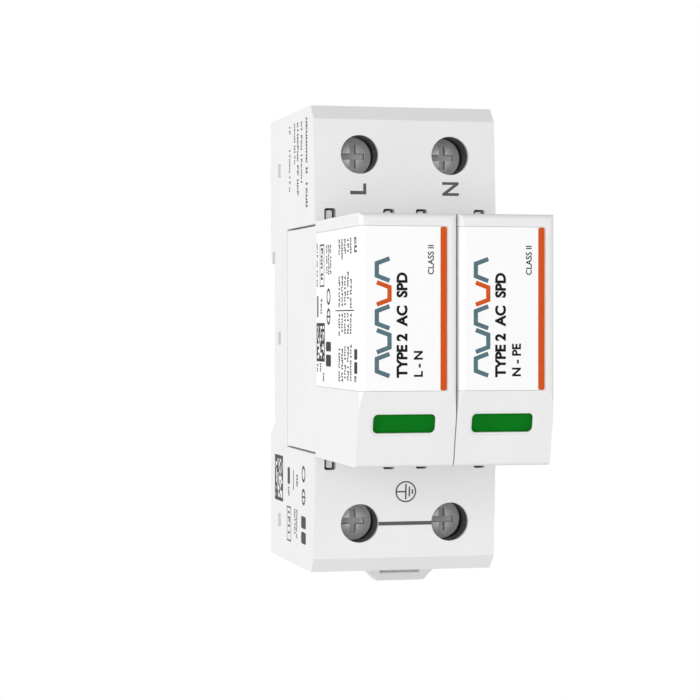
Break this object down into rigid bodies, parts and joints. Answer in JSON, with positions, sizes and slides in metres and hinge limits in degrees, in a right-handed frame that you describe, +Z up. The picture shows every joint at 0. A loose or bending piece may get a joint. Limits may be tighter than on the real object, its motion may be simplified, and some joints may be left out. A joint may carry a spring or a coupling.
{
  "type": "din rail surge protector",
  "caption": "Modular surge protector for rail mounting, with two pull-out cartridges, status windows, screw clamp terminals and a sprung rail latch.",
  "frame": {"origin": "middle of the rear face that seats on the mounting rail, halfway up the 90 mm base", "axes": "+X to the right, +Y to the rear towards the rail, +Z up; the cartridges face -Y"},
  "size_m": [0.036, 0.08, 0.0962],
  "materials": {
    "housing": "fine satin texture, moulded",
    "cartridge": "fine satin texture, moulded",
    "cover": "satin, moulded",
    "latch": "satin, moulded",
    "label": "printed film, semi-gloss",
    "flag_green": "satin",
    "flag_red": "satin",
    "steel": "zinc plated, slightly dull",
    "plated_steel": "zinc plated, pressed",
    "spring_steel": "drawn wire",
    "copper": "bare copper strip",
    "tinned": "tin plated",
    "varistor_coat": "dipped epoxy",
    "ceramic": "fired ceramic"
  },
  "bodies": {
    "root": {"base_housing": "housing", "rear_cover": "cover", "line_bar": "copper", "neutral_bar": "copper", "neutral_link": "copper", "earth_bar": "copper", "socket_top_left": "tinned", "socket_top_right": "tinned", "socket_bottom_left": "tinned", "socket_bottom_right": "tinned", "latch_spring": "spring_steel"},
    "screw_top_left": {"screw_top_left": "steel"},
    "screw_top_right": {"screw_top_right": "steel"},
    "screw_bottom_left": {"screw_bottom_left": "steel"},
    "screw_bottom_right": {"screw_bottom_right": "steel"},
    "cage_top_left": {"clamp_cage_top_left": "plated_steel"},
    "cage_top_right": {"clamp_cage_top_right": "plated_steel"},
    "cage_bottom_left": {"clamp_cage_bottom_left": "plated_steel"},
    "cage_bottom_right": {"clamp_cage_bottom_right": "plated_steel"},
    "latch": {"rail_latch": "latch"},
    "varistor_cartridge": {"varistor_shell": "cartridge", "varistor_back_cap": "cover", "varistor_label": "label", "varistor_flag_backing": "flag_red", "varistor_trip_spring": "spring_steel", "varistor_blade_top": "tinned", "varistor_blade_bottom": "tinned", "varistor_block": "varistor_coat", "varistor_plate_left": "tinned", "varistor_plate_right": "tinned"},
    "varistor_trip": {"varistor_trip_slide": "flag_green"},
    "gastube_cartridge": {"gastube_shell": "cartridge", "gastube_back_cap": "cover", "gastube_label": "label", "gastube_flag_backing": "flag_red", "gastube_trip_spring": "spring_steel", "gastube_blade_top": "tinned", "gastube_blade_bottom": "tinned", "gastube_body": "ceramic", "gastube_cap_top": "tinned", "gastube_cap_bottom": "tinned"},
    "gastube_trip": {"gastube_trip_slide": "flag_green"}
  },
  "joints": [
    {"name": "screw_top_left_turn", "type": "hinge", "parent": "root", "child": "screw_top_left", "pos_m": [-0.009, -0.03, 0.0355], "axis": [0, 1, 0], "range_deg": [0, 2520]},
    {"name": "screw_top_right_turn", "type": "hinge", "parent": "root", "child": "screw_top_right", "pos_m": [0.009, -0.03, 0.0355], "axis": [0, 1, 0], "range_deg": [0, 2520]},
    {"name": "screw_bottom_left_turn", "type": "hinge", "parent": "root", "child": "screw_bottom_left", "pos_m": [-0.009, -0.03, -0.0355], "axis": [0, 1, 0], "range_deg": [0, 2520]},
    {"name": "screw_bottom_right_turn", "type": "hinge", "parent": "root", "child": "screw_bottom_right", "pos_m": [0.009, -0.03, -0.0355], "axis": [0, 1, 0], "range_deg": [0, 2520]},
    {"name": "cage_top_left_lift", "type": "slide", "parent": "root", "child": "cage_top_left", "axis": [0, -1, 0], "range_m": [0, 0.0056]},
    {"name": "cage_top_right_lift", "type": "slide", "parent": "root", "child": "cage_top_right", "axis": [0, -1, 0], "range_m": [0, 0.0056]},
    {"name": "cage_bottom_left_lift", "type": "slide", "parent": "root", "child": "cage_bottom_left", "axis": [0, -1, 0], "range_m": [0, 0.0056]},
    {"name": "cage_bottom_right_lift", "type": "slide", "parent": "root", "child": "cage_bottom_right", "axis": [0, -1, 0], "range_m": [0, 0.0056]},
    {"name": "latch_pull", "type": "slide", "parent": "root", "child": "latch", "axis": [0, 0, -1], "range_m": [0, 0.004], "stiffness_N_per_m": 800, "springref_m": -0.003, "deforming": ["latch_spring"]},
    {"name": "varistor_pull", "type": "slide", "parent": "root", "child": "varistor_cartridge", "axis": [0, -1, 0], "range_m": [0, 0.04]},
    {"name": "varistor_trip_lift", "type": "slide", "parent": "varistor_cartridge", "child": "varistor_trip", "axis": [0, 0, 1], "range_m": [0, 0.0042], "deforming": ["varistor_trip_spring"]},
    {"name": "gastube_pull", "type": "slide", "parent": "root", "child": "gastube_cartridge", "axis": [0, -1, 0], "range_m": [0, 0.04]},
    {"name": "gastube_trip_lift", "type": "slide", "parent": "gastube_cartridge", "child": "gastube_trip", "axis": [0, 0, 1], "range_m": [0, 0.0042], "deforming": ["gastube_trip_spring"]}
  ],
  "couplings": [
    {"joint": "screw_top_left_turn", "follows": "cage_top_left_lift", "rad_per_m": 7854},
    {"joint": "screw_top_right_turn", "follows": "cage_top_right_lift", "rad_per_m": 7854},
    {"joint": "screw_bottom_left_turn", "follows": "cage_bottom_left_lift", "rad_per_m": 7854},
    {"joint": "screw_bottom_right_turn", "follows": "cage_bottom_right_lift", "rad_per_m": 7854}
  ]
}
